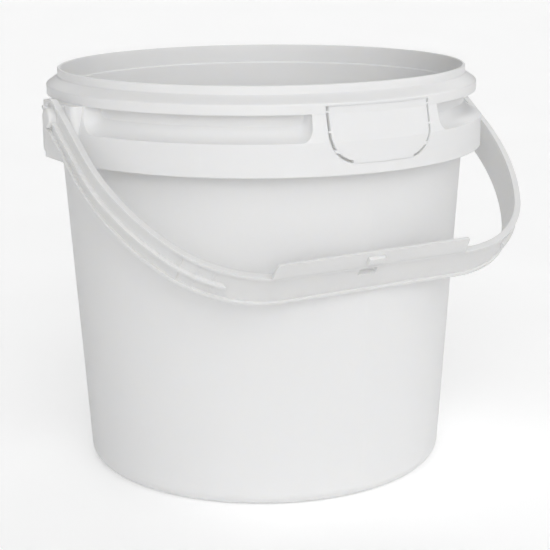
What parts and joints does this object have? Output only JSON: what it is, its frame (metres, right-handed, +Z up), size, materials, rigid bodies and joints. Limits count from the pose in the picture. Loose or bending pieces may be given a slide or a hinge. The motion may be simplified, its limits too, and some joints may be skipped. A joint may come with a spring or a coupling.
{
  "type": "plastic fermenting bucket",
  "caption": "Tapered open plastic pail with a lid ring, hollow collar, tear-off tamper tab and swinging bail handle with a fold-over grip flap.",
  "frame": {"origin": "centre of the foot, on the plane the bucket stands on", "axes": "+Z up along the bucket's axis, -Y towards the tear-off tab and the resting handle, X through the handle pivots"},
  "size_m": [0.2948, 0.2832, 0.254],
  "materials": {
    "white_tub": "semi-gloss moulded polypropylene",
    "white_handle": "semi-gloss moulded polypropylene"
  },
  "bodies": {
    "bucket": {"bucket_body": "white_tub"},
    "tab": {"tear_off_tab": "white_tub"},
    "bail": {"bail_handle": "white_handle"},
    "flap": {"grip_flap": "white_handle"}
  },
  "joints": [
    {"name": "bail_pivot", "type": "hinge", "parent": "bucket", "child": "bail", "pos_m": [0, 0, 0.23], "axis": [-1, 0, 0], "range_deg": [0, 242]},
    {"name": "grip_flap_hinge", "type": "hinge", "parent": "bail", "child": "flap", "pos_m": [0, -0.13849, 0.15068], "axis": [1, 0, 0], "range_deg": [0, 176]},
    {"name": "tab_tear_hinge", "type": "hinge", "parent": "bucket", "child": "tab", "pos_m": [0, -0.1384, 0.2102], "axis": [1, 0, 0], "range_deg": [0, 90]}
  ]
}
